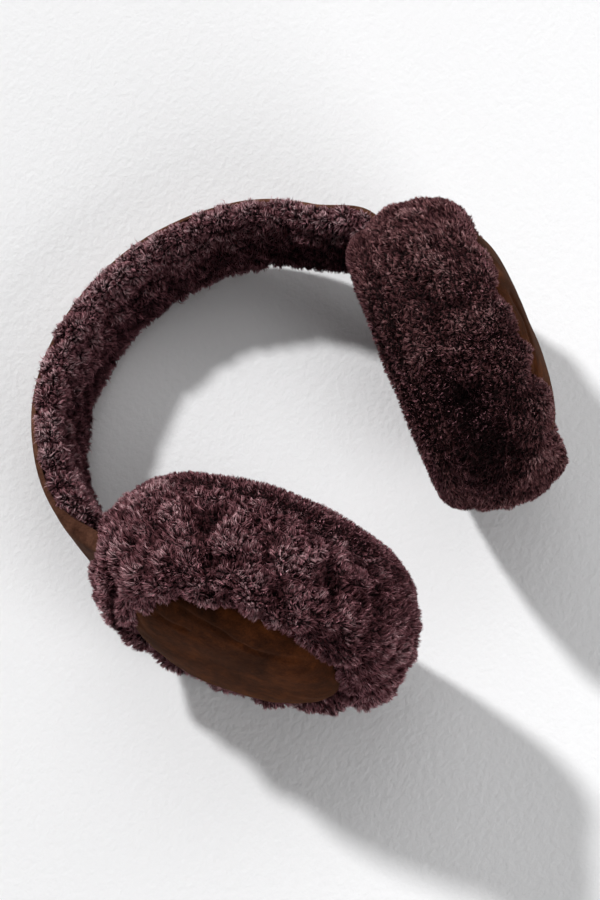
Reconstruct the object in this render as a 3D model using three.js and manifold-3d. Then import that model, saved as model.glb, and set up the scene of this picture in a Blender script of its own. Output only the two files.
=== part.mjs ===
// Fur earmuffs as they lie on a floor: a fur headband with a suede back and a padded fur cup at
// each end. Millimetres, +Z up, floor at z = 0. +X runs from the left cup to the right cup, and
// +Y runs towards the crown of the headband. The origin is on the floor under the middle.
import * as THREE from "three";
import { mergeVertices } from "three/addons/utils/BufferGeometryUtils.js";
import Module from "manifold-3d";

// Driving dimensions of a cup. Depths are along the cup's axis, outward from its middle plane.
const CUP_RADIUS = 52;
const RIM_WIDTH = 24;
const RIM_DEPTH = 34.5;
const RIM_OFFSET = 2.5;
const RIM_SQUARENESS = 2.4;
const PAD_INSET = 5.5;
const PAD_FACE_DEPTH = 21.5;
const PAD_DISH = 2.5;
const GROOVE_INSET = 6.5;
const DOME_EDGE_WIDTH = 5.5;
const DOME_TOP_DEPTH = 26.3;
const DOME_BASE_DEPTH = 8;

// Driving dimensions of the headband. Its middle line is an arc that bends into a cup at each end.
const BAND_RADIUS = 64.5;
const BAND_THICKNESS = 12.2;
const BAND_ARC_END = 22;
const STRAP_WIDTH = 30;
const SUEDE_WALL = 1.6;
const STRAP_CORNER = 2;
const TURNED_EDGE = 0.6;
const TAB_TURNED_EDGE = 3.5;
const FUR_OVERHANG = 1.7;
const TAB_LENGTH = 20;
const TAB_NARROWING = 1.5;
const POCKET_DEPTH = 11;

// How the cups stand. Each has turned by some degrees on the band's soft end, which enters the cup
// at one depth and is seated at another.
const CUP_SPREAD = 49.8;
const CUP_DROP = 42.9;
const LEFT_CUP = { name: "left", side: -1, turn: 19.8, entryDepth: -4.5, seatDepth: -1 };
const RIGHT_CUP = { name: "right", side: 1, turn: 32.9, entryDepth: -11, seatDepth: -5 };

// The fur's locks, the gap between pieces, and how far fur and suede flatten on the floor.
const LOCK_HEIGHT = 1.7;
const LOCK_LENGTH = 12;
const CURL_HEIGHT = 1;
const CURL_LENGTH = 8;
const CLEARANCE = 0.3;
const FLOOR_PRESS = 1.5;

const RIM_STEPS = 18;
const PAD_SEGMENTS = 36;
const DOME_SEGMENTS = 32;
const STRAP_STATIONS = 46;

const fur = { color: 0x3c2729, roughness: 1, metalness: 0 };
const suede = { color: 0x5a3a28, roughness: 0.9, metalness: 0 };

const wasm = await Module();
wasm.setup();

function solidOf(geometry) {
  const bare = geometry.clone();
  bare.deleteAttribute("normal");
  bare.deleteAttribute("uv");
  const merged = mergeVertices(bare);
  const vertProperties = Float32Array.from(merged.attributes.position.array);
  const triVerts = Uint32Array.from(merged.index.array);
  return new wasm.Manifold(new wasm.Mesh({ numProp: 3, vertProperties, triVerts }));
}

function geometryOf(solid) {
  const { vertProperties, triVerts } = solid.getMesh();
  const geometry = new THREE.BufferGeometry();
  geometry.setAttribute("position", new THREE.BufferAttribute(vertProperties, 3));
  geometry.setIndex(new THREE.BufferAttribute(triVerts, 1));
  return geometry;
}

function meshOf(name, geometry, look) {
  geometry.computeVertexNormals();
  const mesh = new THREE.Mesh(geometry, new THREE.MeshStandardMaterial(look));
  mesh.name = name;
  return mesh;
}

// 0 in the valleys between tufts of fur and 1 on their tops, in rows that are set half a tuft apart.
function tuft(along, across) {
  const shift = 0.5 * (Math.floor(across) % 2);
  return Math.sqrt(Math.abs(Math.sin(Math.PI * (along + shift)) * Math.sin(Math.PI * across)));
}

// The section of a cup's fur roll, as radius and depth. It is a squared ellipse, and grow moves it out.
const rimMiddle = CUP_RADIUS - RIM_WIDTH / 2;
const rimBend = 2 / RIM_SQUARENESS;

// The groove and the pad's edge lie inside the cup's edge. The dome is sewn on beyond the rim's
// inner edge.
const PAD_RADIUS = CUP_RADIUS - PAD_INSET;
const GROOVE_RADIUS = CUP_RADIUS - GROOVE_INSET;
const DOME_RADIUS = CUP_RADIUS - RIM_WIDTH + DOME_EDGE_WIDTH;

function rimPoint(angle, grow) {
  const x = Math.cos(angle);
  const y = Math.sin(angle);
  return new THREE.Vector2(
    rimMiddle + (RIM_WIDTH / 2 + grow) * Math.sign(x) * Math.abs(x) ** rimBend,
    RIM_OFFSET + (RIM_DEPTH / 2 + grow) * Math.sign(y) * Math.abs(y) ** rimBend,
  );
}

// Angle on the roll's section, from 0 to pi, where it has a given radius.
function rimAngle(radius) {
  const share = (radius - rimMiddle) / (RIM_WIDTH / 2);
  return Math.acos(Math.sign(share) * Math.abs(share) ** (1 / rimBend));
}

// Points of the roll's section between two angles, at the steps that every piece on it shares.
function rimStretch(from, to, grow) {
  const step = (2 * Math.PI) / RIM_STEPS;
  const angles = [from];
  for (let k = Math.floor(from / step + 1.3); k * step < to - 0.3 * step; k += 1) {
    angles.push(k * step);
  }
  angles.push(to);
  return angles.map((angle) => rimPoint(angle, grow));
}

const grooveAngle = 2 * Math.PI - rimAngle(GROOVE_RADIUS);
const domeEdgeAngle = rimAngle(DOME_RADIUS);
const baseShare = (DOME_BASE_DEPTH - RIM_OFFSET) / (RIM_DEPTH / 2);
const baseAngle = Math.PI - Math.asin(baseShare ** (1 / rimBend));

// Turns a profile of radius and depth round the cup's axis, which is the geometry's own X axis.
function turned(profile, segments) {
  return new THREE.LatheGeometry(profile, segments).rotateZ(-Math.PI / 2);
}

// Lowers a turned surface between its tufts, as far as shown(j) says for point j of its profile.
function furred(geometry, profile, segments, shown) {
  const { position, normal } = geometry.attributes;
  const point = new THREE.Vector3();
  const direction = new THREE.Vector3();
  for (let i = 0; i <= segments; i += 1) {
    for (let j = 0; j < profile.length; j += 1) {
      const vertex = i * profile.length + j;
      const swell = 0.8 + 0.2 * Math.sin((10 * Math.PI * i) / segments + j);
      const drop = LOCK_HEIGHT * (1 - swell * tuft((i % segments) / 2, j / 2)) * shown(j);
      direction.fromBufferAttribute(normal, vertex);
      point.fromBufferAttribute(position, vertex).addScaledVector(direction, -drop);
      position.setXYZ(vertex, point.x, point.y, point.z);
    }
  }
  return geometry;
}

// The fur roll round the cup's edge. It starts at its inner side, which the pad's core fills.
function rimGeometry(grow) {
  const profile = [];
  for (let k = 0; k <= RIM_STEPS; k += 1) {
    profile.push(rimPoint(Math.PI * (1 + (2 * k) / RIM_STEPS), grow));
  }
  const segments = 2 * Math.round((2 * Math.PI * CUP_RADIUS) / LOCK_LENGTH);
  const shown = (j) => {
    const angle = Math.PI * (1 + (2 * j) / RIM_STEPS);
    const inFur = Math.min(angle - grooveAngle, 2 * Math.PI + domeEdgeAngle - angle);
    return THREE.MathUtils.smoothstep(inFur, 0, Math.PI / 4);
  };
  return furred(turned(profile, segments), profile, segments, shown);
}

// The fur pad that lies on the ear, with the stuffed core that stands up inside the roll.
function padGeometry() {
  const roll = rimPoint(-Math.PI / 2, CLEARANCE).y;
  const edge = (roll + PAD_FACE_DEPTH) / 2;
  const face = PAD_RADIUS - edge;
  const profile = [];
  for (let k = 0; k < 5; k += 1) {
    const share = k / 5;
    profile.push(new THREE.Vector2(face * share, PAD_DISH * (1 - share ** 2) ** 2 - PAD_FACE_DEPTH));
  }
  const edgeEnd = Math.acos((GROOVE_RADIUS - face) / edge);
  for (let k = 0; k <= 4; k += 1) {
    const angle = -Math.PI / 2 + ((edgeEnd + Math.PI / 2) * k) / 5;
    profile.push(new THREE.Vector2(face + edge * Math.cos(angle), roll - edge + edge * Math.sin(angle)));
  }
  const furRows = profile.length;
  profile.push(...rimStretch(baseAngle, grooveAngle, CLEARANCE).reverse());
  const core = profile[profile.length - 1];
  core.y = DOME_BASE_DEPTH - CLEARANCE;
  profile.push(new THREE.Vector2(0, core.y));
  const shown = (j) => (j > 0 && j < furRows ? 0.5 : 0);
  return furred(turned(profile, PAD_SEGMENTS), profile, PAD_SEGMENTS, shown);
}

// The stuffed suede dome on the cup's outer side, tucked down inside the roll.
function domeGeometry() {
  const profile = [new THREE.Vector2(0, DOME_BASE_DEPTH)];
  const tucked = rimStretch(domeEdgeAngle, baseAngle, CLEARANCE).reverse();
  tucked[0].y = DOME_BASE_DEPTH;
  profile.push(...tucked);
  const edge = tucked[tucked.length - 1];
  const rise = DOME_TOP_DEPTH - edge.y;
  for (let k = 5; k >= 0; k -= 1) {
    const share = Math.sin((Math.PI / 2) * (k / 6));
    profile.push(new THREE.Vector2(edge.x * share, edge.y + rise * (1 - share ** 3) ** 0.6));
  }
  return turned(profile, DOME_SEGMENTS);
}

// Where a cup stands in the headband's plane, and where the band enters it and ends in it.
function cupPlace({ name, side, turn, entryDepth, seatDepth }) {
  const angle = THREE.MathUtils.degToRad(turn);
  const middle = new THREE.Vector2(side * CUP_SPREAD, -CUP_DROP);
  const outward = new THREE.Vector2(side * Math.cos(angle), -Math.sin(angle));
  const crownward = new THREE.Vector2(side * Math.sin(angle), Math.cos(angle));
  const at = (radius, depth) =>
    middle.clone().addScaledVector(crownward, radius).addScaledVector(outward, depth);
  const seat = at(CUP_RADIUS - POCKET_DEPTH, seatDepth);
  const entry = at(CUP_RADIUS, entryDepth);
  return { name, side, middle, outward, seat, entry };
}

const leftCup = cupPlace(LEFT_CUP);
const rightCup = cupPlace(RIGHT_CUP);

// The smooth bend between a cup's entry and the end of the headband's arc, and the arc's end point.
const arcEnd = THREE.MathUtils.degToRad(BAND_ARC_END);

function bendAt(cup) {
  const joint = new THREE.Vector2(cup.side * Math.cos(arcEnd), Math.sin(arcEnd));
  joint.multiplyScalar(BAND_RADIUS);
  const downward = new THREE.Vector2(cup.side * Math.sin(arcEnd), -Math.cos(arcEnd));
  const outOfCup = cup.entry.clone().sub(cup.seat).normalize();
  const reach = 0.36 * joint.distanceTo(cup.entry);
  const byCup = cup.entry.clone().addScaledVector(outOfCup, reach);
  const byArc = joint.clone().addScaledVector(downward, reach);
  return new THREE.CubicBezierCurve(cup.entry, byCup, byArc, joint);
}

// The headband's middle line in its own plane, from the seat in the left cup to that in the right.
function bandLine() {
  const left = bendAt(leftCup);
  const right = bendAt(rightCup);
  const line = new THREE.Path();
  line.add(new THREE.LineCurve(leftCup.seat, leftCup.entry));
  line.add(left);
  line.add(new THREE.EllipseCurve(0, 0, BAND_RADIUS, BAND_RADIUS, Math.PI - arcEnd, arcEnd, true));
  line.add(new THREE.CubicBezierCurve(right.v3, right.v2, right.v1, right.v0));
  line.add(new THREE.LineCurve(rightCup.entry, rightCup.seat));
  return line;
}

const middleLine = bandLine();
const bandLength = middleLine.getLength();

// How far a point on the band has turned into the bare suede tab, from 0 to 1 by the cup.
function tabShare(distance) {
  const fromEnd = Math.min(distance, bandLength - distance);
  return 1 - THREE.MathUtils.smoothstep(fromEnd, POCKET_DEPTH, POCKET_DEPTH + TAB_LENGTH);
}

// Lofts a section along the band. The section's x is outward from the line and its y is up.
function loft(distances, sectionAt) {
  const positions = [];
  const loops = distances.map((distance, station) => {
    const share = THREE.MathUtils.clamp(distance / bandLength, 0, 1);
    const point = middleLine.getPoint(share);
    const tangent = middleLine.getTangent(share);
    point.addScaledVector(tangent, distance - share * bandLength);
    const loop = sectionAt(distance, station);
    for (const { x, y } of loop) {
      positions.push(point.x - tangent.y * x, point.y + tangent.x * x, y);
    }
    return loop;
  });
  const count = loops[0].length;
  const index = [];
  for (let i = 0; i + 1 < loops.length; i += 1) {
    for (let j = 0; j < count; j += 1) {
      const a = i * count + j;
      const b = i * count + ((j + 1) % count);
      index.push(a, b, b + count, a, b + count, a + count);
    }
  }
  for (const first of [0, (loops.length - 1) * count]) {
    const centre = positions.length / 3;
    for (const axis of [0, 1, 2]) {
      const ring = Array.from({ length: count }, (_, j) => positions[3 * (first + j) + axis]);
      positions.push(ring.reduce((sum, value) => sum + value, 0) / count);
    }
    for (let j = 0; j < count; j += 1) {
      const a = first + j;
      const b = first + ((j + 1) % count);
      index.push(centre, ...(first === 0 ? [b, a] : [a, b]));
    }
  }
  const geometry = new THREE.BufferGeometry();
  geometry.setAttribute("position", new THREE.Float32BufferAttribute(positions, 3));
  geometry.setIndex(index);
  return geometry;
}

function spaced(from, to, count) {
  return Array.from({ length: count + 1 }, (_, k) => from + ((to - from) * k) / count);
}

// Half of the strap's section above the band's plane, set in from its outer faces by inset. Its
// edge is turned over as far as tip, which is further round at the tabs.
const strapOuter = BAND_THICKNESS / 2;

function strapTip(tab) {
  return strapOuter - STRAP_CORNER - THREE.MathUtils.lerp(TURNED_EDGE, TAB_TURNED_EDGE, tab);
}

function strapHalf(inset, tip) {
  const points = [];
  for (let k = 0; k <= 3; k += 1) {
    const angle = (Math.PI / 2) * (k / 3);
    points.push(new THREE.Vector2(
      strapOuter - STRAP_CORNER + (STRAP_CORNER - inset) * Math.cos(angle),
      STRAP_WIDTH / 2 - STRAP_CORNER + (STRAP_CORNER - inset) * Math.sin(angle),
    ));
  }
  points.push(new THREE.Vector2(tip, STRAP_WIDTH / 2 - inset));
  return points;
}

function mirrored(half) {
  return half.map(({ x, y }) => new THREE.Vector2(x, -y)).reverse();
}

// The suede shell in section: one wall with turned edges, which fills to a solid tongue at the tab.
function strapSection(distance) {
  const tab = tabShare(distance);
  const tip = strapTip(tab);
  const outside = strapHalf(0, tip);
  const inside = strapHalf(SUEDE_WALL, tip);
  for (const point of inside) {
    point.x = THREE.MathUtils.lerp(point.x, tip, tab);
  }
  return [...mirrored(outside), ...outside, ...[...mirrored(inside), ...inside].reverse()];
}

// The slot that a cup's roll keeps for the strap's tongue.
function tongueSection() {
  const outside = strapHalf(-CLEARANCE, strapTip(1) - CLEARANCE);
  return [...mirrored(outside), ...outside];
}

// The fur that fills the suede shell and bulges out over its two edges in curls.
function liningSection(distance, station) {
  const tab = tabShare(distance);
  const { lerp } = THREE.MathUtils;
  const under = strapTip(tab) - CLEARANCE;
  const inner = -BAND_THICKNESS / 2;
  const belly = (under + inner) / 2;
  const back = lerp(strapOuter - SUEDE_WALL - CLEARANCE, under, tab);
  const seat = STRAP_WIDTH / 2 - SUEDE_WALL - CLEARANCE;
  const brow = seat + lerp(SUEDE_WALL, SUEDE_WALL / 4, tab);
  const wide = lerp(STRAP_WIDTH / 2 + FUR_OVERHANG, seat + TAB_NARROWING, tab);
  const rows = [
    { x: back, y: 0, curl: 0 },
    { x: back, y: seat - CURL_HEIGHT, curl: 0 },
    { x: under, y: seat, curl: 0 },
    { x: under, y: brow, curl: 0 },
    { x: under - CURL_HEIGHT, y: wide, curl: 0.5 },
    { x: belly, y: wide + CURL_HEIGHT / 2, curl: 1 },
    { x: (belly + inner) / 2, y: wide, curl: 1 },
    { x: inner, y: wide - 3 * CURL_HEIGHT, curl: 1 },
    { x: inner, y: wide / 2, curl: 1 },
    { x: inner, y: 0, curl: 1 },
  ];
  const half = rows.map(({ x, y, curl }, row) => {
    const swell = 0.8 + 0.2 * Math.sin(station / 3 + row);
    const drop = CURL_HEIGHT * curl * (1 - swell * tuft(station / 2, row / 2));
    return new THREE.Vector2(x, y).add(new THREE.Vector2(belly - x, -y).setLength(drop));
  });
  return [...mirrored(half.slice(1, -1)), ...half];
}

// The headband's two pieces. The fur stops where it meets the rolls of the two cups.
const strapGeometry = loft(spaced(0, bandLength, STRAP_STATIONS), strapSection);
const furStart = POCKET_DEPTH - 2 * CURL_HEIGHT;
const furSteps = 2 * Math.round((bandLength - 2 * furStart) / CURL_LENGTH);
let lining = solidOf(loft(spaced(furStart, bandLength - furStart, furSteps), liningSection));

// The lying group tilts the headband's plane, and each cup's group turns its X axis outward.
const earmuffs = new THREE.Group();
const lying = new THREE.Group();
earmuffs.add(lying);

const pastEntry = POCKET_DEPTH + TAB_LENGTH / 2;
const tongueEnds = {
  left: [-CLEARANCE, pastEntry],
  right: [bandLength - pastEntry, bandLength + CLEARANCE],
};
for (const cup of [leftCup, rightCup]) {
  const group = new THREE.Group();
  group.position.set(cup.middle.x, cup.middle.y, 0);
  group.rotation.z = Math.atan2(cup.outward.y, cup.outward.x);
  group.updateMatrix();
  const keepOut = rimGeometry(CLEARANCE).applyMatrix4(group.matrix);
  lining = lining.subtract(solidOf(keepOut));
  const tongue = loft(spaced(...tongueEnds[cup.name], 6), tongueSection);
  tongue.applyMatrix4(group.matrix.clone().invert());
  const rim = geometryOf(solidOf(rimGeometry(0)).subtract(solidOf(tongue)));
  group.add(meshOf(`${cup.name}_cup_rim`, rim, fur));
  group.add(meshOf(`${cup.name}_cup_dome`, domeGeometry(), suede));
  group.add(meshOf(`${cup.name}_ear_pad`, padGeometry(), fur));
  lying.add(group);
}
lying.add(meshOf("headband_strap", strapGeometry, suede));
lying.add(meshOf("headband_fur", geometryOf(lining), fur));

// Height of the lowest point of the pieces whose names end in one of these, at a tilt of the plane.
function lowest(tilt, endings) {
  lying.rotation.x = -tilt;
  lying.updateMatrixWorld(true);
  let height = Infinity;
  lying.traverse((mesh) => {
    if (mesh.isMesh && endings.some((ending) => mesh.name.endsWith(ending))) {
      height = Math.min(height, new THREE.Box3().setFromObject(mesh, true).min.z);
    }
  });
  return height;
}

// The object rests on both rolls and on the crown's lower edge, which sets the tilt.
let flat = 0;
let steep = Math.PI / 4;
while (steep - flat > 1e-5) {
  const tilt = (flat + steep) / 2;
  if (lowest(tilt, ["_rim"]) < lowest(tilt, ["_fur", "_strap"])) {
    flat = tilt;
  } else {
    steep = tilt;
  }
}
lying.position.z = -lowest(flat, ["_rim"]) - FLOOR_PRESS;

// Fur and suede that would reach below the floor lie flat on it.
lying.updateMatrixWorld(true);
lying.traverse((mesh) => {
  if (mesh.isMesh) {
    const { position } = mesh.geometry.attributes;
    const back = mesh.matrixWorld.clone().invert();
    const point = new THREE.Vector3();
    for (let i = 0; i < position.count; i += 1) {
      point.fromBufferAttribute(position, i).applyMatrix4(mesh.matrixWorld);
      if (point.z < 0) {
        point.setZ(0).applyMatrix4(back);
        position.setXYZ(i, point.x, point.y, point.z);
      }
    }
    mesh.geometry.computeVertexNormals();
  }
});

const centre = new THREE.Box3().setFromObject(lying, true).getCenter(new THREE.Vector3());
lying.position.x = -centre.x;
lying.position.y = -centre.y;

export default earmuffs;
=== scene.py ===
# Fur earmuffs lying on a pale floor: a suede headband lined with curly fur, and two round fur
# cups with suede domes. Metres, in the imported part's own frame.
import math

import bmesh
import bpy
import numpy as np
from mathutils import Matrix, Vector, noise
from mathutils.geometry import interpolate_bezier, intersect_point_line
from mathutils.kdtree import KDTree


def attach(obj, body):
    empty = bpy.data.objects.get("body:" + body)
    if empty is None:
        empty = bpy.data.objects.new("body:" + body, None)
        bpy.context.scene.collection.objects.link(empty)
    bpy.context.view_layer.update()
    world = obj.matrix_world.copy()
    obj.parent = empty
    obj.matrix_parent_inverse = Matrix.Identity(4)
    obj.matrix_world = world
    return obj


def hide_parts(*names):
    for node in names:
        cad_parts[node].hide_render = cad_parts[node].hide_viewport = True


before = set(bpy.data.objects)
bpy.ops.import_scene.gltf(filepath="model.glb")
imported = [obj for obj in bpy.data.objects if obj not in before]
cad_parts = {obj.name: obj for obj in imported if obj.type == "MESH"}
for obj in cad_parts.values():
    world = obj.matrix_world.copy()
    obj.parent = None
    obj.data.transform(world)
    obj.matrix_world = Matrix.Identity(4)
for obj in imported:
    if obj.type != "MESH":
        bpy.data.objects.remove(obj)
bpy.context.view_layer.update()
MM = 0.001

# The camera looks down on the lying earmuffs with a long lens, from in front and to the left.
# Its place was matched to the outlines of the band and of both cups.
VIEW_DISTANCE = 916
view_turn = math.radians(-51.2)
view_rise = math.radians(73.8)
look_at = Vector((-6.02, -9.95, 40.0)) * MM
back = Vector((
    math.sin(view_turn) * math.cos(view_rise),
    -math.cos(view_turn) * math.cos(view_rise),
    math.sin(view_rise),
))
camera_data = bpy.data.cameras.new("camera")
camera_data.lens = 117.1
camera_data.sensor_width = 36
camera = bpy.data.objects.new("camera", camera_data)
camera.location = look_at + back * VIEW_DISTANCE * MM
camera.rotation_euler = (-back).to_track_quat("-Z", "Y").to_euler()
bpy.context.collection.objects.link(camera)
bpy.context.scene.camera = camera


# The floor is a plain pale sheet with a fine grain. One hard lamp from behind the headband throws
# the shadows towards the front, and large pale screens round the set fill them.
class Socket:
    """A node's output that takes part in Python expressions. Each step adds a Math node."""

    def __init__(self, nodes, socket):
        self.nodes = nodes
        self.socket = socket

    def step(self, operation, first, second):
        return self.nodes.add("ShaderNodeMath", {"operation": operation}, {0: first, 1: second})

    def __add__(self, other):
        return self.step("ADD", self, other)

    def __radd__(self, other):
        return self.step("ADD", other, self)

    def __mul__(self, other):
        return self.step("MULTIPLY", self, other)

    def __rmul__(self, other):
        return self.step("MULTIPLY", other, self)


class Nodes:
    """The nodes of one material, round a Principled surface."""

    def __init__(self, name):
        self.material = bpy.data.materials.new(name)
        self.material.use_nodes = True
        self.tree = self.material.node_tree
        self.tree.nodes.clear()
        self.surface = self.tree.nodes.new("ShaderNodeBsdfPrincipled")
        output = self.tree.nodes.new("ShaderNodeOutputMaterial")
        self.tree.links.new(self.surface.outputs[0], output.inputs["Surface"])

    def put(self, inputs, values):
        for key, value in values.items():
            if isinstance(value, Socket):
                self.tree.links.new(value.socket, inputs[key])
            else:
                inputs[key].default_value = value

    def add(self, kind, settings=None, inputs=None, output=0):
        node = self.tree.nodes.new(kind)
        for key, value in (settings or {}).items():
            setattr(node, key, value)
        self.put(node.inputs, inputs or {})
        return Socket(self, node.outputs[output])

    def set(self, values):
        self.put(self.surface.inputs, values)

    def multiplied(self, first, second):
        """Two colours multiplied."""
        settings = {"data_type": "RGBA", "blend_type": "MULTIPLY"}
        return self.add("ShaderNodeMix", settings, {0: 1.0, 6: first, 7: second}, output=2)

    def noise(self, scale, detail=3.0, roughness=0.6, distortion=0.0):
        """Noise on Object coordinates, in steps per metre."""
        values = {"Vector": self.add("ShaderNodeTexCoord", output=3), "Scale": scale}
        values.update({"Detail": detail, "Roughness": roughness, "Distortion": distortion})
        return self.add("ShaderNodeTexNoise", None, values)

    def ramp(self, factor, stops):
        """A colour ramp with its stops as places and colours."""
        ramp = self.add("ShaderNodeValToRGB", None, {"Fac": factor})
        elements = ramp.socket.node.color_ramp.elements
        while len(elements) < len(stops):
            elements.new(1.0)
        for element, (position, colour) in zip(elements, stops):
            element.position = position
            element.color = colour
        return ramp


def tone(red, green, blue):
    """A colour with its screen values from 0 to 255, as linear light."""
    shares = [c / 255 for c in (red, green, blue)]
    return tuple(c / 12.92 if c < 0.04 else ((c + 0.055) / 1.055) ** 2.4 for c in shares) + (1.0,)


def new_object(name, mesh):
    made = bpy.data.objects.new(name, mesh)
    bpy.context.collection.objects.link(made)
    return made


FLOOR_HALF_WIDTH = 3
shape = bmesh.new()
bmesh.ops.create_grid(shape, x_segments=1, y_segments=1, size=FLOOR_HALF_WIDTH)
floor_mesh = bpy.data.meshes.new("floor")
shape.to_mesh(floor_mesh)
shape.free()
floor = new_object("floor", floor_mesh)
nodes = Nodes("floor")
mottled = nodes.ramp(nodes.noise(2.2), [(0.3, tone(241, 241, 242)), (0.7, tone(243, 243, 244))])
nodes.set({"Base Color": mottled, "Roughness": 0.85, "Specular IOR Level": 0.2})
grain = {"Height": nodes.noise(420, detail=4), "Strength": 0.55, "Distance": 0.6 * MM}
nodes.set({"Normal": nodes.add("ShaderNodeBump", None, grain)})
floor.data.materials.append(nodes.material)

lamp_data = bpy.data.lights.new("lamp", "SUN")
lamp_data.energy = 2.8
lamp_data.angle = math.radians(5)
lamp = bpy.data.objects.new("lamp", lamp_data)
lamp.rotation_euler = Vector((0.06, 0.764, 0.643)).to_track_quat("Z", "Y").to_euler()
bpy.context.collection.objects.link(lamp)

SCREEN_SIZE = 1.4
screens = {
    "window": (7.9, (0.98, 0.79, 1.8)),
    "side_window": (8.5, (1.89, -0.2, 1.1)),
    "reflector": (24.5, (-0.2, -1.89, 1.1)),
    "ceiling": (2.8, (0.0, 0.0, 2.2)),
}
for name, (energy, place) in screens.items():
    screen_data = bpy.data.lights.new(name, "AREA")
    screen_data.energy = energy
    screen_data.size = SCREEN_SIZE
    screen = bpy.data.objects.new(name, screen_data)
    screen.location = place
    screen.rotation_euler = Vector(place).to_track_quat("Z", "Y").to_euler()
    bpy.context.collection.objects.link(screen)

world = bpy.data.worlds.new("room")
world.use_nodes = True
world.node_tree.nodes["Background"].inputs["Color"].default_value = (1.0, 1.0, 1.0, 1.0)
world.node_tree.nodes["Background"].inputs["Strength"].default_value = 0.04
bpy.context.scene.world = world
bpy.context.scene.view_settings.view_transform = "Standard"

# The strap is the suede back of the headband. Its edges are turned over the fur, and near each
# cup it closes to a flat tab that is sewn into the cup.
lying = Matrix.Translation((-3.12, 10.547, 35.284)) @ Matrix.Rotation(math.radians(-18.786), 4, "X")
BAND_RADIUS = 64.5
ARC_END = 22
ARC_STEPS = 80
CUP_RADIUS = 52
CUP_SPREAD = 49.8
CUP_DROP = 42.9
cup_turns = {"left": 19.8, "right": 32.9}
RIGHT_END_SHIFT = 2.5
POCKET_DEPTH = 11
TAB_LENGTH = 20
STRAP_OUTER = 6.1
STRAP_HALF_WIDTH = 13.2
STRAP_CORNER = 2
TURNED_EDGE = 3.5
SUEDE_WALL = 1.6


def cup_ends(cup, side, entry_depth, seat_depth):
    """Where the band enters a cup's edge and where it is seated, in the band's plane."""
    angle = math.radians(cup_turns[cup])
    middle = Vector((side * CUP_SPREAD, -CUP_DROP))
    outward = Vector((side * math.cos(angle), -math.sin(angle)))
    crownward = Vector((side * math.sin(angle), math.cos(angle)))
    entry = middle + crownward * CUP_RADIUS + outward * entry_depth
    return entry, middle + crownward * (CUP_RADIUS - POCKET_DEPTH) + outward * seat_depth


def bend_points(side, entry, seat):
    """The smooth bend from a cup to the end of the band's arc."""
    angle = math.radians(ARC_END)
    joint = Vector((side * math.cos(angle), math.sin(angle))) * BAND_RADIUS
    downward = Vector((side * math.sin(angle), -math.cos(angle)))
    reach = 0.36 * (joint - entry).length
    handle = entry + (entry - seat).normalized() * reach
    return [p.to_2d() for p in interpolate_bezier(entry, handle, joint + downward * reach, joint, 40)]


left_entry, left_seat = cup_ends("left", -1, -4.5, -1)
right_entry, right_seat = cup_ends("right", 1, -11, -5)
arc_span = 180 - 2 * ARC_END
arc = [math.radians(180 - ARC_END - arc_span * k / ARC_STEPS) for k in range(1, ARC_STEPS)]
band_line = np.array([
    left_seat,
    *bend_points(-1, left_entry, left_seat),
    *[Vector((math.cos(a), math.sin(a))) * BAND_RADIUS for a in arc],
    *reversed(bend_points(1, right_entry, right_seat)),
    right_seat,
])
band_steps = np.linalg.norm(np.diff(band_line, axis=0), axis=1)
band_marks = np.concatenate([[0.0], np.cumsum(band_steps)])
BAND_LENGTH = band_marks[-1]


def smooth_step(value, low, high):
    """A soft rise from 0 at the low value to 1 at the high one."""
    share = min(max((value - low) / (high - low), 0.0), 1.0)
    return share * share * (3 - 2 * share)


def band_point(distance, outward, up):
    """A point beside the band's line: outward in the band's plane, and up from that plane. The
    right end lies a little further inside."""
    near = [np.interp(distance + e, band_marks, band_line[:, 0]) for e in (-1.5, 0, 1.5)]
    far = [np.interp(distance + e, band_marks, band_line[:, 1]) for e in (-1.5, 0, 1.5)]
    along = Vector((near[2] - near[0], far[2] - far[0])).normalized()
    outward -= RIGHT_END_SHIFT * smooth_step(distance, BAND_LENGTH - 50, BAND_LENGTH - 15)
    return lying @ Vector((near[1] - along.y * outward, far[1] + along.x * outward, up))


def tab_share(distance):
    """How far the band has closed to the bare tab, from 0 to 1 by the cup. The right cup leans
    over its tab, so the fur reaches further there."""
    if distance > BAND_LENGTH / 2:
        return 1 - smooth_step(BAND_LENGTH - distance, POCKET_DEPTH - 6, POCKET_DEPTH + 1)
    return 1 - smooth_step(distance, POCKET_DEPTH, POCKET_DEPTH + TAB_LENGTH)


def surface(name, across, along, place):
    """A grid whose shares across and along, from 0 to 1, are placed in millimetres. Its seam and
    its poles are merged, and its open ends are closed."""
    shape = bmesh.new()
    bmesh.ops.create_grid(shape, x_segments=across, y_segments=along, size=0.5)
    for vert in shape.verts:
        vert.co = place(vert.co.x + 0.5, vert.co.y + 0.5) * MM
    bmesh.ops.remove_doubles(shape, verts=shape.verts, dist=0.01 * MM)
    bmesh.ops.holes_fill(shape, edges=[e for e in shape.edges if e.is_boundary], sides=0)
    bmesh.ops.recalc_face_normals(shape, faces=shape.faces)
    mesh = bpy.data.meshes.new(name)
    shape.to_mesh(mesh)
    shape.free()
    mesh.shade_smooth()
    return mesh


def show(piece, material, node):
    """Gives a piece its finish, and its place on the part in a CAD node's stead."""
    piece.data.materials.append(material)
    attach(piece, "root")
    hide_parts(node)


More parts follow.
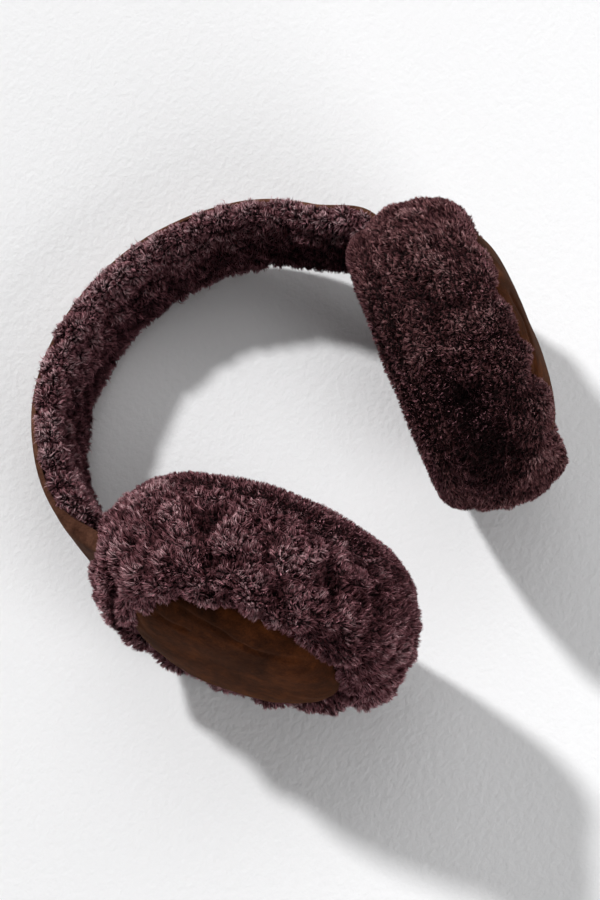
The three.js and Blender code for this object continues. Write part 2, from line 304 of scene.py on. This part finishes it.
def suede_material(name, stops):
    """Napped suede: soft patches where the nap lies differently, a fine grain and small creases."""
    nodes = Nodes(name)
    strokes = nodes.noise(260, detail=5, roughness=0.7)
    grain = nodes.noise(1700, detail=2)
    nap = nodes.noise(60, detail=4, distortion=0.6) * 0.55 + strokes * 0.45
    positions = (0.36, 0.5, 0.64)
    colour = nodes.ramp(nap, [(p, tone(*c)) for p, c in zip(positions, stops)])
    fine = nodes.ramp(grain, [(0.3, (0.66, 0.66, 0.66, 1.0)), (0.7, (1.0, 1.0, 1.0, 1.0))])
    nodes.set({"Base Color": nodes.multiplied(colour, fine)})
    nodes.set({"Roughness": 0.95, "Specular IOR Level": 0.06, "Sheen Weight": 0.06})
    nodes.set({"Sheen Roughness": 0.5, "Sheen Tint": tone(205, 140, 95)})
    bump = {"Height": grain * 0.4 + strokes * 0.6, "Strength": 0.7, "Distance": 0.4 * MM}
    nodes.set({"Normal": nodes.add("ShaderNodeBump", None, bump)})
    return nodes.material


def strap_section(share, distance):
    """The suede shell in section: out along one face, round the turned edge and back inside."""
    tab = tab_share(distance)
    bend = STRAP_OUTER - STRAP_CORNER
    tip = bend - TURNED_EDGE * tab
    inside = share > 0.5
    where = 2 * share if not inside else 2 - 2 * share
    inset = SUEDE_WALL if inside else 0.0
    side = -1 if where < 0.5 else 1
    reach = abs(2 * where - 1)
    flat = STRAP_HALF_WIDTH - STRAP_CORNER
    if reach < 0.6:
        x = STRAP_OUTER - inset
        y = flat * reach / 0.6
    elif reach < 0.85:
        angle = (reach - 0.6) / 0.25 * math.pi / 2
        x = bend + (STRAP_CORNER - inset) * math.sin(math.pi / 2 - angle)
        y = flat + (STRAP_CORNER - inset) * math.sin(angle)
    else:
        x = bend + (tip - bend) * (reach - 0.85) / 0.15
        y = STRAP_HALF_WIDTH - inset
    if inside:
        x += (tip - x) * tab
    return x, side * y


def strap_place(across, along):
    """The strap's points, with soft ripples in the suede and in its edges."""
    distance = along * BAND_LENGTH
    x, y = strap_section(across, distance)
    ripple = noise.noise(Vector((distance / 14, y / 9, 3.1)))
    x += 0.35 * ripple + 0.25 * (1 - (y / STRAP_HALF_WIDTH) ** 2)
    y += 0.25 * noise.noise(Vector((distance / 9, 7.7, math.copysign(2, y))))
    point = band_point(distance, x, y)
    point.z = max(point.z, 0.3)
    return point


strap = new_object("headband_suede", surface("headband_suede", 72, 220, strap_place))
suede_stops = [(60, 36, 26), (88, 57, 44), (116, 80, 64)]
show(strap, suede_material("band_suede", suede_stops), "headband_strap")

# The domes are the stuffed suede middles of the cups. They are sewn in at the fur's inner edge,
# and their slack skin has a few soft creases.
DOME_RADIUS = 33.8
DOME_SEAT = 17.6
CREASE_RISE = 8.7
dome_rises = {"left": 7.9, "right": 7.4}


def cup_axes(side, turn):
    """A cup's own axes: x points out through its dome."""
    middle = Matrix.Translation((side * CUP_SPREAD, -CUP_DROP, 0))
    return lying @ middle @ Matrix.Rotation(math.radians(turn), 4, "Z")


cups = {"left": cup_axes(-1, cup_turns["left"] - 180), "right": cup_axes(1, -cup_turns["right"])}


def cup_point(cup, radius, depth, turn):
    """A point of a cup at a radius from its axis and a depth outward, turned round its axis."""
    point = cups[cup] @ Vector((depth, radius * math.cos(turn), radius * math.sin(turn)))
    point.z = max(point.z, 0.3)
    return point


def crease(spot, line, width, depth):
    """How deep a crease along a line of points dents a spot."""
    gap = 99.0
    for start, end in zip(line, line[1:]):
        _, share = intersect_point_line(spot, start, end)
        gap = min(gap, (start.lerp(end, min(max(share, 0.0), 1.0)) - spot).length)
    return depth * math.exp(-((gap / width) ** 2))


def dome_spot(share, turn):
    """A point of the mean dome that the creases are drawn on: a share of its radius, and a turn."""
    radius = DOME_RADIUS * share
    depth = DOME_SEAT + CREASE_RISE * (1 - share ** 3) ** 0.6
    return Vector((depth, radius * math.cos(turn), radius * math.sin(turn)))


dome_creases = {
    "left": [[(0.93, 1.82), (0.8, 1.42), (0.67, 0.96), (0.9, 0.49)], [(0.86, 2.2), (0.7, 1.9)]],
    "right": [[(0.9, 2.6), (0.7, 2.2), (0.75, 1.7)]],
}


def dome_place(cup):
    """A crowned dome with slack skin, creases and pleats at its seam, where it turns in."""
    lines = [[dome_spot(*at) for at in line] for line in dome_creases[cup]]

    def place(across, along):
        turn = 2 * math.pi * along
        share = min(across / 0.8, 1.0)
        radius = DOME_RADIUS * share
        rise = (1 - share ** 3) ** 0.6
        depth = DOME_SEAT + dome_rises[cup] * rise
        around = Vector((math.cos(turn), math.sin(turn), 0)) * 2.6
        pleats = noise.noise(around * 2.4 + Vector((0, 0, 5.0))) * smooth_step(share, 0.55, 0.95)
        slack = noise.noise(Vector((radius * math.cos(turn), radius * math.sin(turn), 30)) / 13)
        depth += 0.55 * pleats + 0.6 * slack * rise
        depth -= sum(crease(dome_spot(share, turn), line, 0.9, 0.9) for line in lines)
        if across > 0.8:
            depth -= 9.0 * (across - 0.8) / 0.2
            radius -= 1.5 * (across - 0.8) / 0.2
        return cup_point(cup, radius, depth, turn)
    return place


dome_stops = [(38, 17, 6), (62, 30, 12), (88, 46, 20)]
dome_suede = suede_material("dome_suede", dome_stops)
for cup in cups:
    dome = new_object(cup + "_dome_suede", surface(cup + "_dome_suede", 56, 130, dome_place(cup)))
    show(dome, dome_suede, cup + "_cup_dome")


# The rims are the fur rolls sewn round the domes: a fluffy pile with deep folds on the left one,
# and a shorter, denser pile on the right one. The pile leans back from the dome, but over its seam.
RIM_MIDDLE = 40
RIM_HALF_WIDTH = 9.8
RIM_OFFSET = 2.5
RIM_HALF_DEPTH = 15.1


def points_of(mesh):
    points = np.empty(len(mesh.vertices) * 3, np.float32)
    mesh.vertices.foreach_get("co", points)
    return points.reshape(-1, 3).astype(float)


def unit(vectors):
    return vectors / np.maximum(np.linalg.norm(vectors, axis=-1, keepdims=True), 1e-9)


def normals_of(mesh):
    normals = np.empty(len(mesh.vertices) * 3, np.float32)
    mesh.vertex_normals.foreach_get("vector", normals)
    return normals.reshape(-1, 3).astype(float)


def triangles_of(mesh):
    mesh.calc_loop_triangles()
    corners = np.empty(len(mesh.loop_triangles) * 3, np.int32)
    mesh.loop_triangles.foreach_get("vertices", corners)
    return corners.reshape(-1, 3)


def hollows_of(mesh):
    """How many millimetres each vertex lies below the smooth course of the surface round it."""
    smooth_rounds = 12
    ends = np.empty(len(mesh.edges) * 2, np.int32)
    mesh.edges.foreach_get("vertices", ends)
    first, second = ends.reshape(-1, 2).T
    points = points_of(mesh)
    beside = np.bincount(ends, minlength=len(points))[:, None]
    smooth = points
    for _ in range(smooth_rounds):
        total = np.zeros_like(points)
        np.add.at(total, first, smooth[second])
        np.add.at(total, second, smooth[first])
        smooth = total / beside
    return ((smooth - points) * normals_of(mesh)).sum(1) / MM


def rooted(mesh, count, random):
    """Evenly spread random points on a mesh, the smooth normals there, and a function that reads
    the vertices' values there. What faces the floor gets fewer."""
    corners = triangles_of(mesh)
    normals = normals_of(mesh)[corners]
    places = points_of(mesh)[corners]
    area = np.linalg.norm(np.cross(places[:, 1] - places[:, 0], places[:, 2] - places[:, 0]), axis=1)
    upward = np.clip((normals.mean(1)[:, 2] + 0.7) / 0.6, 0.25, 1.0)
    heap = np.cumsum(area * upward)
    picks = (np.arange(count) + random.random(count)) / count * heap[-1]
    chosen = np.minimum(np.searchsorted(heap, picks), len(area) - 1)
    shares = random.random((count, 2))
    over = shares.sum(1) > 1
    shares[over] = 1 - shares[over]
    weights = np.concatenate([1 - shares.sum(1, keepdims=True), shares], axis=1)[:, :, None]

    def read(values):
        return (values[corners[chosen]] * weights[:, :, 0]).sum(1)

    return (places[chosen] * weights).sum(1), unit((normals[chosen] * weights).sum(1)), read


def coat(backing, flow, random, count, length, width, levels=1, bend=0.4, tufts=6000, round_to=1.0,
         curl=0.0, turns=0.0, rows=(0, 0, 0), painted_shade_spots=()):
    """Flat tapered locks on a backing. A lock starts along the surface's normal and bends into
    the flow. The locks of a tuft draw together at their tips and are shaded as one rounded curl,
    which is longer across the direction of rows. Their colour gets painted shade at the tufts' edges,
    in the backing's hollows and round each painted shade spot, and a painted highlight on the knobs.
    A painted shade spot has a place, a width and a depth. Sizes are in millimetres."""
    spread = 0.7
    pull = 0.5
    roots, normals, read = rooted(backing, count, random)
    centres, centre_normals, _ = rooted(backing, tufts, random)

    def squeezed(places):
        return places + (places @ np.array(rows))[:, None] * np.array(rows)

    tree = KDTree(len(centres))
    for i, centre in enumerate(squeezed(centres)):
        tree.insert(centre, i)
    tree.balance()
    owner = np.array([tree.find(root)[1] for root in squeezed(roots)])
    bulge = squeezed(roots - centres[owner]) / (round_to * MM)
    edge = np.clip(np.linalg.norm(bulge, axis=1), 0, 1)

    def leaned(places, normals):
        lean = unit(flow(places) + random.normal(0, spread, places.shape))
        return unit(lean - normals * (lean * normals).sum(1, keepdims=True))

    clump_lean = leaned(centres, centre_normals)
    clump_length = length * MM * random.uniform(0.8, 1.2, len(centres))
    lean = unit(clump_lean[owner] + leaned(roots, normals) * 0.7)
    reach = random.uniform(0.75, 1.2, count) * clump_length[owner]
    bends = bend * random.uniform(0.4, 1.6, count)
    meeting = centres + centre_normals * (clump_length * (1 - 0.5 * bend))[:, None]
    meeting += clump_lean * (clump_length * 0.9 * bend)[:, None]

    share = np.linspace(0, 1, levels + 1)[None, :, None]
    rise = reach[:, None, None] * (share - 0.5 * bends[:, None, None] * share ** 2)
    slide = reach[:, None, None] * 0.9 * bends[:, None, None] * share ** 2
    path = roots[:, None] + normals[:, None] * rise + lean[:, None] * slide
    path += (meeting[owner] - path[:, -1])[:, None] * share ** 1.5 * pull
    chord = unit(path[:, -1] - path[:, 0])
    side = unit(np.cross(chord, random.normal(0, 1, chord.shape)))
    other = np.cross(chord, side)
    phase = random.uniform(0, 2 * math.pi, (count, 1, 1)) + 2 * math.pi * turns * share
    ring = side[:, None] * np.cos(phase) + other[:, None] * np.sin(phase)
    path += ring * share ** 0.6 * curl * MM

    sizes = width * MM * random.uniform(0.7, 1.3, (count, 1)) * (1 - share[0, :-1, 0] ** 1.6)[None]
    spokes = np.stack([side, -side], axis=1)
    rings = path[:, :-1, None] + spokes[:, None] * sizes[:, :, None, None] / 2
    points = np.concatenate([rings.reshape(count, -1, 3), path[:, -1:]], axis=1)
    points[:, :, 2] = np.maximum(points[:, :, 2], 0.1 * MM)

    base = (np.arange(count) * (2 * levels + 1))[:, None, None]
    quads = 2 * np.arange(levels - 1)[:, None] + np.array([[0, 1, 3, 2]])
    tips = 2 * (levels - 1) + np.array([[0, 1, 2]])

    shade = random.normal(0.52, 0.035, count) + random.normal(0, 0.05, len(centres))[owner]
    # Painted shade: darker at each tuft's edge and in the backing's hollows, with a painted highlight on
    # its knobs; the spots below paint more shade.
    shade -= 0.14 * edge ** 2 + 0.12 * np.clip(read(hollows_of(backing)), -1.5, 2.5)
    dark = np.zeros(count)
    for middle, reach_of_dark, depth in painted_shade_spots:
        gap = np.linalg.norm(roots - np.array(middle), axis=1) / (reach_of_dark * MM)
        dark = np.maximum(dark, depth * np.exp(-(gap ** 2)))
    shade = np.clip(shade - dark, 0, 1)
    along = np.concatenate([np.repeat(share[0, :-1, 0], 2), [1.0]])
    facing = np.concatenate([np.tile(spokes, (1, levels, 1)), chord[:, None]], axis=1) * 0.12
    lit = normals * 0.65 + bulge / np.maximum(1, np.linalg.norm(bulge, axis=1))[:, None] * 0.55
    return {
        "points": points.reshape(-1, 3),
        "quads": (quads[None] + base).reshape(-1, 4),
        "tips": (tips[None] + base).reshape(-1, 3),
        "along": np.tile(along, count),
        "shade": np.repeat(shade, len(along)),
        "normals": unit(facing + lit[:, None]).reshape(-1, 3),
    }


def furred(name, backing, flow, seed, coats):
    """One mesh of a backing and the coats that grow on it."""
    random = np.random.default_rng(seed)
    grown = [coat(backing, flow, random, **settings) for settings in coats]
    starts = np.cumsum([len(backing.vertices)] + [len(g["points"]) for g in grown])
    faces = [triangles_of(backing)]
    for g, start in zip(grown, starts):
        faces += [g["quads"] + start, g["tips"] + start]
    points = np.concatenate([points_of(backing)] + [g["points"] for g in grown])
    normals = np.concatenate([normals_of(backing)] + [g["normals"] for g in grown])
    corners = np.concatenate([f.ravel() for f in faces])
    sides = np.concatenate([np.full(len(f), f.shape[1]) for f in faces])

    mesh = bpy.data.meshes.new(name)
    mesh.vertices.add(len(points))
    mesh.vertices.foreach_set("co", points.astype(np.float32).ravel())
    mesh.loops.add(len(corners))
    mesh.loops.foreach_set("vertex_index", corners.astype(np.int32))
    mesh.polygons.add(len(sides))
    mesh.polygons.foreach_set("loop_start", (np.cumsum(sides) - sides).astype(np.int32))
    mesh.update(calc_edges=True)
    mesh.shade_smooth()
    mesh.normals_split_custom_set_from_vertices(normals.tolist())
    bare = np.zeros(len(backing.vertices))
    for key in ("along", "shade"):
        values = np.concatenate([bare] + [g[key] for g in grown]).astype(np.float32)
        mesh.attributes.new(key, "FLOAT", "POINT").data.foreach_set("value", values)
    return new_object(name, mesh)


def fur_material(name, stops, root, sheen):
    """Dyed fur: each lock has its own tone, with the painted shade and highlight from its coat, is dark at
    its root and has a paler, soft tip.
    """
    nodes = Nodes(name)
    along = nodes.add("ShaderNodeAttribute", {"attribute_name": "along"}, output=2)
    shade = nodes.add("ShaderNodeAttribute", {"attribute_name": "shade"}, output=2)
    mixed = shade * 0.58 + nodes.noise(1700, detail=2) * 0.2 + nodes.noise(60, detail=3) * 0.22
    colour = nodes.ramp(mixed, [(p, tone(*c)) for p, c in stops])
    depth = nodes.ramp(along, [(0.0, (root, root, root, 1.0)), (0.9, (1.0, 1.0, 1.0, 1.0))])
    nodes.set({"Base Color": nodes.multiplied(colour, depth)})
    nodes.set({"Roughness": 0.8, "Specular IOR Level": 0.08, "Sheen Weight": sheen})
    nodes.set({"Sheen Roughness": 0.4, "Sheen Tint": tone(215, 150, 160)})
    return nodes.material


def knobs(place, size):
    """Rounded knobs with valleys between them, from 0 to 1."""
    near, _ = noise.voronoi(place / size)
    return max(0.0, 1 - (near[0] / 0.85) ** 2)


def rim_spot(angle, turn, lift=0.0):
    """A point on a rim's squared round section, in the cup's own axes."""
    x, y = math.cos(angle), math.sin(angle)
    bend = 2 / (2.4 if y > 0 else 3.0)
    radius = RIM_MIDDLE + (RIM_HALF_WIDTH + lift) * math.copysign(abs(x) ** bend, x)
    depth = RIM_OFFSET + (RIM_HALF_DEPTH + lift) * math.copysign(abs(y) ** bend, y)
    return Vector((depth, radius * math.cos(turn), radius * math.sin(turn)))


# Each fold has a width, a depth and its line, as angles round the section and turns round the cup.
rim_folds = {
    "left": [
        (2.6, 3.6, [(5.18, 0.89), (5.93, 0.82), (0.26, 0.71)]),
        (2.4, 3.4, [(6.21, 1.23), (6.59, 1.14), (7.14, 1.02)]),
        (2.2, 3.4, [(6.72, 1.52), (7.08, 1.47), (7.78, 1.47)]),
        (2.6, 2.6, [(5.2, 0.6), (5.85, 0.42), (6.72, 0.38)]),
        (1.7, 3.8, [(5.5, 2.28), (6.25, 2.3), (6.86, 2.35), (7.47, 2.56), (7.68, 2.99), (7.57, 3.31)]),
    ],
    "right": [
        (9.0, 4.4, [(6.1, 2.42), (6.16, 2.6), (6.23, 2.77)]),
        (2.0, 1.2, [(5.34, 3.0), (6.0, 3.05), (6.49, 3.02)]),
        (1.8, -1.0, [(4.89, 2.1), (5.9, 2.07), (6.47, 2.13), (7.6, 2.19)]),
    ],
}

# Each plump part has its turn round the cup, its width, how far it swells inward and outward, and
# how far it leans round the section.
plump_parts = {
    "left": [(2.5, 0.5, 3.6, 3.6, 0.6), (5.45, 0.5, 0.0, -2.6, 0.0), (2.65, 0.5, 1.6, -1.2, -0.6)],
    "right": [(2.55, 0.4, 3.0, 2.0, 0.5), (0.75, 0.45, 2.0, -2.4, -0.5), (3.2, 0.35, 0.8, -2.0, -0.3)],
}


def rim_place(cup, size, height, rise):
    """A rim with knobs of a size and height, and with its folds. Its side by the dome rises."""
    pile = 2.2
    folds = [(w, d, [rim_spot(a, turn, pile) for a, turn in line]) for w, d, line in rim_folds[cup]]

    def place(across, along):
        turn = 2 * math.pi * along
        angle = 2 * math.pi * across
        spot = rim_spot(angle, turn)
        warp = noise.noise_vector(spot / 8) * 2
        lump = 1.5 * noise.noise(spot / 15) + height * (knobs(spot + warp, size) - 0.6)
        lump += 0.3 * height * (knobs(spot + warp * 0.5, size * 0.42) - 0.6)
        lump -= sum(crease(rim_spot(angle, turn, pile), line, w, d) for w, d, line in folds)
        radius = math.hypot(spot.y, spot.z) + lump * math.cos(angle)
        depth = spot.x + lump * math.sin(angle)
        scallop = 0.6 + 0.4 * math.cos(13 * turn + 2 * math.sin(3 * turn))
        depth += rise * scallop * smooth_step(math.sin(angle), 0.2, 1.0)
        for middle, width, inward, outward, lean in plump_parts[cup]:
            apart = abs((turn - middle + math.pi) % (2 * math.pi) - math.pi)
            plump = math.exp(-((apart / width) ** 2)) * smooth_step(math.sin(angle - lean), 0.3, 1.0)
            radius -= inward * plump
            depth += outward * plump
        return cup_point(cup, radius, depth, turn)
    return place


def rim_flow(cup):
    """Out from the cup's axis and back towards the ear pad, but over the dome at its edge."""
    seam_radius = 37.5
    axis = np.array(cups[cup].to_3x3() @ Vector((1, 0, 0)))
    middle = np.array(cups[cup].translation) * MM

    def flow(places):
        offset = places - middle
        depth = offset @ axis
        radial = offset - depth[:, None] * axis
        radius = np.linalg.norm(radial, axis=1)
        inward = np.clip((seam_radius - radius / MM) / 3, -1, 1)[:, None]
        return -inward * radial / radius[:, None] - 0.5 * (1 - inward) / 2 * axis
    return flow


# The right cup's fur is a darker, less glossy copy of the left cup's: painted shade for the right cup,
# which lies more in shade.
fur_stops = {
    "left": [(0.32, (40, 18, 21)), (0.42, (100, 57, 61)), (0.52, (168, 113, 120)), (0.62, (240, 196, 200))],
    "right": [(0.32, (38, 18, 19)), (0.42, (88, 50, 52)), (0.52, (146, 97, 98)), (0.62, (214, 166, 166))],
}
cup_furs = {
    "left": fur_material("left_cup_fur", fur_stops["left"], root=0.3, sheen=0.6),
    "right": fur_material("right_cup_fur", fur_stops["right"], root=0.3, sheen=0.4),
}
rims = {
    "left": {
        "shape": (9.0, 4.0, 0.8), "length": 2.2, "width": 0.36, "tufts": 7000, "round_to": 1.1, "curl": 0.5,
    },
    "right": {
        "shape": (8.0, 2.2, 3.0), "length": 1.6, "width": 0.32, "tufts": 9000, "round_to": 0.9, "curl": 0.3,
    },
}
# Painted shade on the pile: spots darkened where the cup's surface lies in shade. Each has a radius, depth,
# turn, width and darkness.
painted_shade_patches = {
    "left": [(50, 3, 0.35, 18, 0.09)],
    "right": [
        (50, 0, 2.5, 12, 0.3), (50, -3, 2.72, 12, 0.3), (49, -6, 2.4, 12, 0.3), (49, -4, 2.9, 12, 0.3),
    ],
}
# The knobs' warp is drawn from Blender's own noise, which starts elsewhere in each run if it has no
# seed.
WARP_SEED = 2
noise.seed_set(WARP_SEED)
for seed, (cup, rim) in enumerate(rims.items()):
    backing = surface(cup + "_rim_backing", 60, 170, rim_place(cup, *rim["shape"]))
    pile = {key: rim[key] for key in ("length", "width", "tufts", "round_to")}
    pile["rows"] = np.array(cups[cup].to_3x3() @ Vector((0.9, 0, 0)))
    # These spots paint shade into the pile's colour where the cup lies in shade.
    pile["painted_shade_spots"] = [(cup_point(cup, *at[:3]) * MM, *at[3:]) for at in painted_shade_patches[cup]]
    coats = [
        {"count": 150000, "bend": 0.6, **pile},
        {"count": 5000, "levels": 2, "bend": 0.9, "curl": rim["curl"], **pile},
    ]
    roll = furred(cup + "_rim_fur", backing, rim_flow(cup), 11 + seed, coats)
    show(roll, cup_furs[cup], cup + "_cup_rim")


# The ear pads are the stuffed, short-furred cushions on the cups' inner sides, sewn on behind a
# seam in the fur. A second, shallow groove runs along the edge of the cushion.
PAD_RADIUS = 38.5
PAD_FACE = -19.9
PAD_CROWN = 2.2
PAD_EDGE_DEPTH = 7.6
pad_edge_widths = {"left": 8.2, "right": 7.4}
PAD_SEAM = (46.5, -13.8)
# The groove's points have a radius, a depth and a turn.
groove = [
    (44.8, -17.5, 1.54), (42.5, -19.3, 1.77), (43.1, -19.0, 1.98), (43.9, -18.5, 2.16),
    (45.3, -17.0, 2.41), (46.3, -15.5, 2.64), (46.6, -14.7, 3.01), (46.9, -13.6, 3.3),
]
groove_line = [Vector((d, r * math.cos(turn), r * math.sin(turn))) for r, d, turn in groove]


def pad_place(cup):
    """A cushion with a slightly hollow face, a round edge and its groove."""
    def place(across, along):
        turn = 2 * math.pi * along
        if across < 0.6:
            share = across / 0.6
            radius = PAD_RADIUS * share
            depth = PAD_FACE + PAD_CROWN * (1 - share ** 2)
        else:
            angle = (across - 0.6) / 0.4 * math.pi * 0.6
            radius = PAD_RADIUS + pad_edge_widths[cup] * math.sin(angle)
            depth = PAD_FACE + PAD_EDGE_DEPTH * (1 - math.cos(angle))
        spot = Vector((depth, radius * math.cos(turn), radius * math.sin(turn)))
        dent = crease(spot, groove_line, 1.5, 1.1)
        depth += dent - 0.5 * noise.noise(Vector((spot.y, spot.z, 3)) / 11)
        return cup_point(cup, radius - dent, depth, turn)
    return place


def pad_flow(cup):
    """Gently out from the middle of the cushion's face."""
    axis = np.array(cups[cup].to_3x3() @ Vector((1, 0, 0)))
    middle = np.array(cups[cup].translation) * MM

    def flow(places):
        offset = places - middle
        radial = offset - (offset @ axis)[:, None] * axis
        return radial / (20 * MM)
    return flow


for seed, cup in enumerate(cups):
    backing = surface(cup + "_pad_backing", 60, 130, pad_place(cup))
    # Painted shade darkens the pad's fur along its seam with the rim and along its groove.
    seam_and_groove_painted_shade = [(cup_point(cup, *PAD_SEAM, k / 10) * MM, 1.9, 0.22) for k in range(63)]
    for start, end in zip(groove, groove[1:]):
        for k in range(6):
            between = [a + (b - a) * k / 6 for a, b in zip(start, end)]
            seam_and_groove_painted_shade.append((cup_point(cup, *between) * MM, 1.5, 0.24))
    coats = [{"count": 100000, "length": 1.5, "width": 0.32, "round_to": 0.9, "painted_shade_spots": seam_and_groove_painted_shade}]
    pad = furred(cup + "_pad_fur", backing, pad_flow(cup), 21 + seed, coats)
    show(pad, cup_furs[cup], cup + "_ear_pad")


# The headband's fur is sewn into the suede strap. It is curlier than the cups' fur and bulges
# out in small knobs on both sides of the strap. Its inner face is flatter, and painted shade darkens it.
LINING_START = 9.5
LINING_OUTER = 3.2
LINING_INNER = -4.4
LINING_HALF_WIDTH = 13.0


def lining_place(across, along):
    """The lining's knobbly section. Its edges bulge over the strap's, most of all by the crown."""
    distance = LINING_START + along * (BAND_LENGTH - 2 * LINING_START)
    tab = tab_share(distance)
    angle = 2 * math.pi * across
    x, y = math.cos(angle), math.sin(angle)
    outer = LINING_OUTER - 3.4 * tab
    wide = LINING_HALF_WIDTH + 2.2 * (1 - tab)
    middle = (outer + LINING_INNER) / 2
    outward = middle + (outer - LINING_INNER) / 2 * math.copysign(abs(x) ** 0.7, x)
    up = wide * math.copysign(abs(y) ** 0.7, y)
    loose = smooth_step(along, 0.24, 0.3) * (1 - smooth_step(along, 0.48, 0.56))
    outward += (2.6 + 1.8 * loose) * (1 - tab) * max(x, 0.0) * smooth_step(abs(up), 11.5, 14.0)
    knob = 3.0 * (knobs(Vector((outward, up, distance)), 5.2) - 0.6)
    outward += knob * x
    up += knob * y
    end = min(distance - LINING_START, BAND_LENGTH - LINING_START - distance)
    up *= 0.9 + 0.1 * smooth_step(end, 0, 8)
    point = band_point(distance, outward, up)
    point.z = max(point.z, 0.3)
    return point


def lining_flow(places):
    """The curls lie every way."""
    return places * 0


band_stops = [(0.3, (46, 22, 27)), (0.4, (112, 65, 72)), (0.5, (184, 127, 134)), (0.6, (240, 200, 204))]
band_fur = fur_material("band_fur", band_stops, root=0.25, sheen=0.5)
# Painted shade darkens the fur along the band's inner face, which lies in shade.
inner_painted_shade = [(band_point(BAND_LENGTH * k / 40, -5.5, -6) * MM, 9, 0.22) for k in range(3, 38)]
backing = surface("band_backing", 50, 240, lining_place)
coats = [
    {"count": 130000, "length": 1.8, "width": 0.34, "tufts": 8000, "painted_shade_spots": inner_painted_shade},
    {
        "count": 3500, "length": 2.8, "width": 0.4, "levels": 3, "bend": 0.9, "curl": 0.5, "turns": 0.9,
        "painted_shade_spots": inner_painted_shade,
    },
]
lining = furred("headband_fur_curls", backing, lining_flow, 31, coats)
show(lining, band_fur, "headband_fur")
